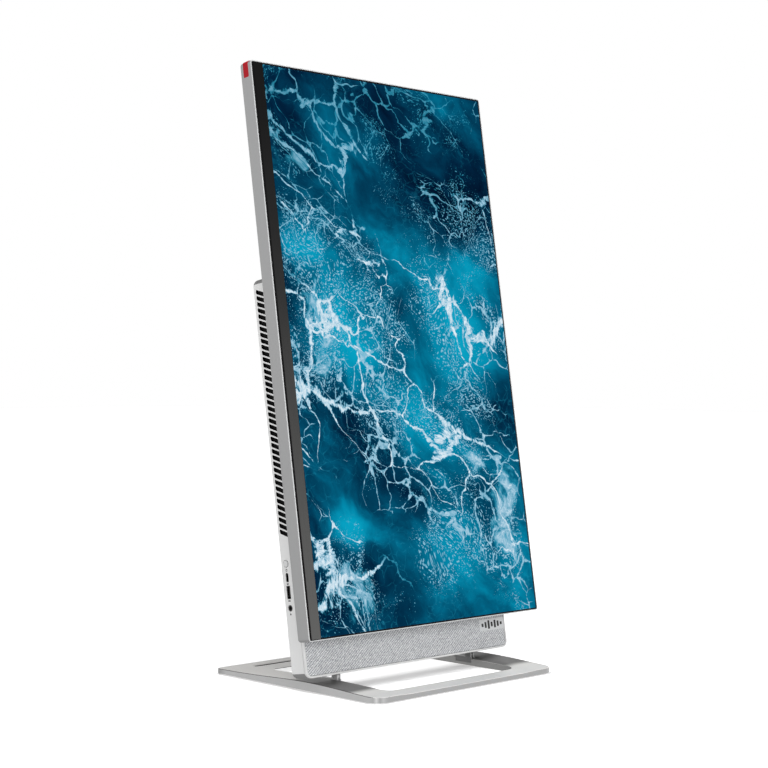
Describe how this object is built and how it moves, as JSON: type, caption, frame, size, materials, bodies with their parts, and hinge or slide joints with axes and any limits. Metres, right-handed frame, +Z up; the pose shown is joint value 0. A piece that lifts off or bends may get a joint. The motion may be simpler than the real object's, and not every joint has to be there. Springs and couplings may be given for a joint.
{
  "type": "all-in-one desktop computer",
  "caption": "All-in-one desktop computer: a large flat display that turns between portrait and landscape in front of a slim computer body, tilting on a flat ring stand.",
  "frame": {"origin": "centre of the stand's footprint, on the desk", "axes": "+Z up, the screen faces -Y, +X to the right as seen from the front; drawn in portrait and leaning back 9 degrees"},
  "size_m": [0.355, 0.253, 0.657],
  "materials": {
    "satin_aluminium": "fine bead-blasted satin, cut edges slightly brighter",
    "silver_paint": "satin silver-grey metallic paint with a lighter front lip",
    "pale_plastic": "very pale grey moulded plastic with a fine matt texture",
    "fabric": "fine diagonal blue-grey melange weave",
    "label": "satin printed tag without lettering",
    "screen_glass": "anti-glare panel, lit, with a sea-foam picture",
    "chin_gloss": "gloss dark grey strip",
    "red_plastic": "smooth red enamel",
    "rubber": "matt black rubber",
    "black_plastic": "black moulded plastic",
    "bright_steel": "plain plated steel",
    "dark_steel": "dark grey coated steel",
    "circuit_board": "green solder mask",
    "chip": "plain grey package",
    "copper": "bare copper",
    "diffuser": "white diffuser"
  },
  "bodies": {
    "stand": {"base_ring": "satin_aluminium", "foot_front_left": "rubber", "foot_front_right": "rubber", "foot_rear_left": "rubber", "foot_rear_right": "rubber", "hinge_bracket_left": "dark_steel", "hinge_bracket_right": "dark_steel", "hinge_pin_left": "bright_steel", "hinge_pin_right": "bright_steel"},
    "computer": {"hinge_arm_left": "bright_steel", "hinge_arm_right": "bright_steel", "rear_cover": "pale_plastic", "front_bezel": "pale_plastic", "front_cover": "pale_plastic", "speaker_grille": "black_plastic", "speaker_fabric": "fabric", "label_tag": "label", "chassis_plate": "bright_steel", "main_board": "circuit_board", "processor": "chip", "heat_spreader": "copper", "heat_pipe": "copper", "fin_stack": "copper", "fan_housing": "black_plastic", "fan_axle": "bright_steel", "memory_module_upper": "circuit_board", "memory_module_lower": "circuit_board", "storage_drive": "circuit_board", "wireless_card": "circuit_board", "side_io_board": "circuit_board", "button_switch": "black_plastic", "usb_c_port": "bright_steel", "usb_a_port": "bright_steel", "audio_jack": "black_plastic", "power_inlet": "black_plastic", "video_in_port": "bright_steel", "video_out_port": "bright_steel", "rear_usb_port_inner": "bright_steel", "rear_usb_port_outer": "bright_steel", "speaker_left": "black_plastic", "speaker_right": "black_plastic", "rotation_stator": "dark_steel", "bearing_ring": "black_plastic", "friction_washer": "dark_steel"},
    "fan": {"fan_impeller": "black_plastic"},
    "button": {"power_button": "silver_paint"},
    "display": {"display_shell": "silver_paint", "display_chassis": "bright_steel", "light_guide": "diffuser", "led_bar": "diffuser", "lcd_panel": "screen_glass", "chin_strip": "chin_gloss", "driver_board": "circuit_board", "corner_tab": "red_plastic", "rotor_plate": "dark_steel", "hollow_shaft": "bright_steel", "retaining_ring": "bright_steel", "stop_pin": "bright_steel", "display_cable": "rubber"}
  },
  "joints": [
    {"name": "stand_tilt", "type": "hinge", "parent": "stand", "child": "computer", "pos_m": [0, -0.0301, 0.01285], "axis": [-1, 0, 0], "range_deg": [-14, 11]},
    {"name": "display_rotation", "type": "hinge", "parent": "computer", "child": "display", "pos_m": [0, -0.02103, 0.3588], "axis": [0, -0.9873, 0.1588], "range_deg": [0, 90]},
    {"name": "fan_spin", "type": "hinge", "parent": "computer", "child": "fan", "pos_m": [-0.0905, 0.02609, 0.37907], "axis": [0, -0.9873, 0.1588], "continuous": true},
    {"name": "button_press", "type": "slide", "parent": "computer", "child": "button", "axis": [1, 0, 0], "range_m": [0, 0.0006], "stiffness_N_per_m": 1200, "springref_m": -0.0005}
  ]
}
